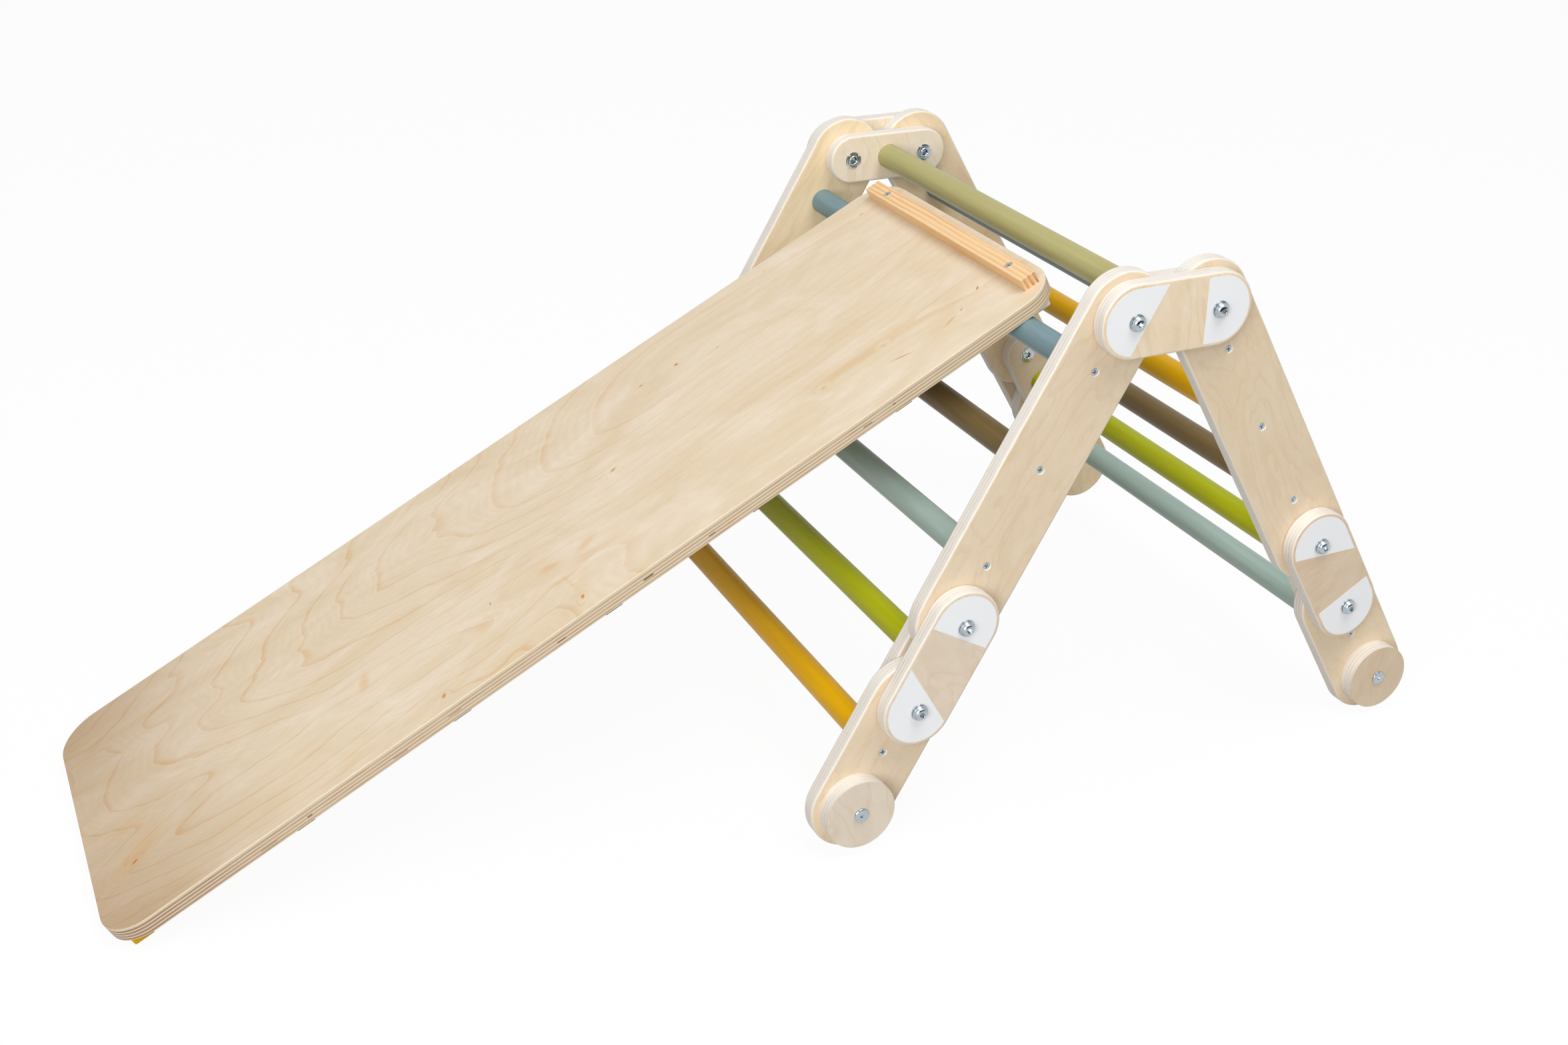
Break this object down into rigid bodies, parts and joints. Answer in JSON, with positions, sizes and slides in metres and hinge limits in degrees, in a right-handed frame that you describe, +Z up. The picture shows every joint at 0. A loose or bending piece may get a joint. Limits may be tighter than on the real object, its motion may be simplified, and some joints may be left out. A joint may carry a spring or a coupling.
{
  "type": "climbing triangle",
  "caption": "Folding children's climbing triangle: plywood legs and link plates on pivot bolts, painted round rungs and a hook-on plywood ramp with battens underneath.",
  "frame": {"origin": "on the floor, midway between the front and back feet and between the two side frames", "axes": "+X from the ramp's side (front) to the back, +Y along the rungs from the right side frame to the left, +Z up"},
  "size_m": [1.4517, 0.6866, 0.594],
  "materials": {
    "birch_ply": "satin",
    "ramp_ply": "satin",
    "pine": "satin",
    "slate": "satin",
    "brown": "satin",
    "sage": "satin",
    "lime": "satin",
    "mustard": "satin",
    "olive": "satin",
    "white": "satin",
    "zinc_steel": "satin"
  },
  "bodies": {
    "top_link": {"top_link_outer_plate_right": "birch_ply", "top_link_inner_plate_right": "birch_ply", "top_link_outer_plate_left": "birch_ply", "top_link_inner_plate_left": "birch_ply", "top_link_rung": "olive", "top_link_pivot_bolts": "zinc_steel", "top_link_nuts_and_screws": "zinc_steel"},
    "front_upper": {"front_upper_leg_right": "birch_ply", "front_upper_leg_left": "birch_ply", "front_first_rung": "slate", "front_second_rung": "brown", "front_third_rung": "sage", "front_upper_rung_screws": "zinc_steel"},
    "front_link": {"front_link_outer_plate_right": "birch_ply", "front_link_inner_plate_right": "birch_ply", "front_link_outer_plate_left": "birch_ply", "front_link_inner_plate_left": "birch_ply", "front_link_rung": "lime", "front_link_pivot_bolts": "zinc_steel", "front_link_nuts_and_screws": "zinc_steel"},
    "front_lower": {"front_lower_leg_right": "birch_ply", "front_lower_leg_left": "birch_ply", "front_foot_disc_right": "birch_ply", "front_foot_disc_left": "birch_ply", "front_lower_rung": "mustard", "front_foot_bolts": "zinc_steel", "front_foot_nuts": "zinc_steel", "front_lower_rung_screws": "zinc_steel"},
    "back_upper": {"back_upper_leg_right": "birch_ply", "back_upper_leg_left": "birch_ply", "back_first_rung": "slate", "back_second_rung": "mustard", "back_third_rung": "brown", "back_upper_rung_screws": "zinc_steel"},
    "back_link": {"back_link_outer_plate_right": "birch_ply", "back_link_inner_plate_right": "birch_ply", "back_link_outer_plate_left": "birch_ply", "back_link_inner_plate_left": "birch_ply", "back_link_rung": "lime", "back_link_pivot_bolts": "zinc_steel", "back_link_nuts_and_screws": "zinc_steel"},
    "back_lower": {"back_lower_leg_right": "birch_ply", "back_lower_leg_left": "birch_ply", "back_foot_disc_right": "birch_ply", "back_foot_disc_left": "birch_ply", "back_lower_rung": "sage", "back_foot_bolts": "zinc_steel", "back_foot_nuts": "zinc_steel", "back_lower_rung_screws": "zinc_steel"},
    "ramp": {"ramp_board": "ramp_ply", "ramp_mustard_batten": "mustard", "ramp_lime_batten": "lime", "ramp_sage_batten": "sage", "ramp_slate_batten": "slate", "ramp_brown_batten": "brown", "ramp_olive_batten": "olive", "ramp_white_batten": "white", "ramp_pine_stop": "pine", "ramp_screws": "zinc_steel"}
  },
  "joints": [
    {"name": "front_top_pivot", "type": "hinge", "parent": "top_link", "child": "front_upper", "pos_m": [-0.05, 0, 0.54597], "axis": [0, -1, 0], "range_deg": [-60, 30]},
    {"name": "front_link_pivot", "type": "hinge", "parent": "front_upper", "child": "front_link", "pos_m": [-0.225, 0, 0.24286], "axis": [0, 1, 0], "range_deg": [-90, 90]},
    {"name": "front_lower_pivot", "type": "hinge", "parent": "front_link", "child": "front_lower", "pos_m": [-0.275, 0, 0.15625], "axis": [0, 1, 0], "range_deg": [-90, 90]},
    {"name": "back_top_pivot", "type": "hinge", "parent": "top_link", "child": "back_upper", "pos_m": [0.05, 0, 0.54597], "axis": [0, 1, 0], "range_deg": [-60, 30]},
    {"name": "back_link_pivot", "type": "hinge", "parent": "back_upper", "child": "back_link", "pos_m": [0.225, 0, 0.24286], "axis": [0, -1, 0], "range_deg": [-90, 90]},
    {"name": "back_lower_pivot", "type": "hinge", "parent": "back_link", "child": "back_lower", "pos_m": [0.275, 0, 0.15625], "axis": [0, -1, 0], "range_deg": [-90, 90]},
    {"name": "ramp_tilt", "type": "hinge", "parent": "front_upper", "child": "ramp", "pos_m": [-0.0815, 0, 0.4914], "axis": [0, 1, 0], "range_deg": [0, 45]}
  ]
}
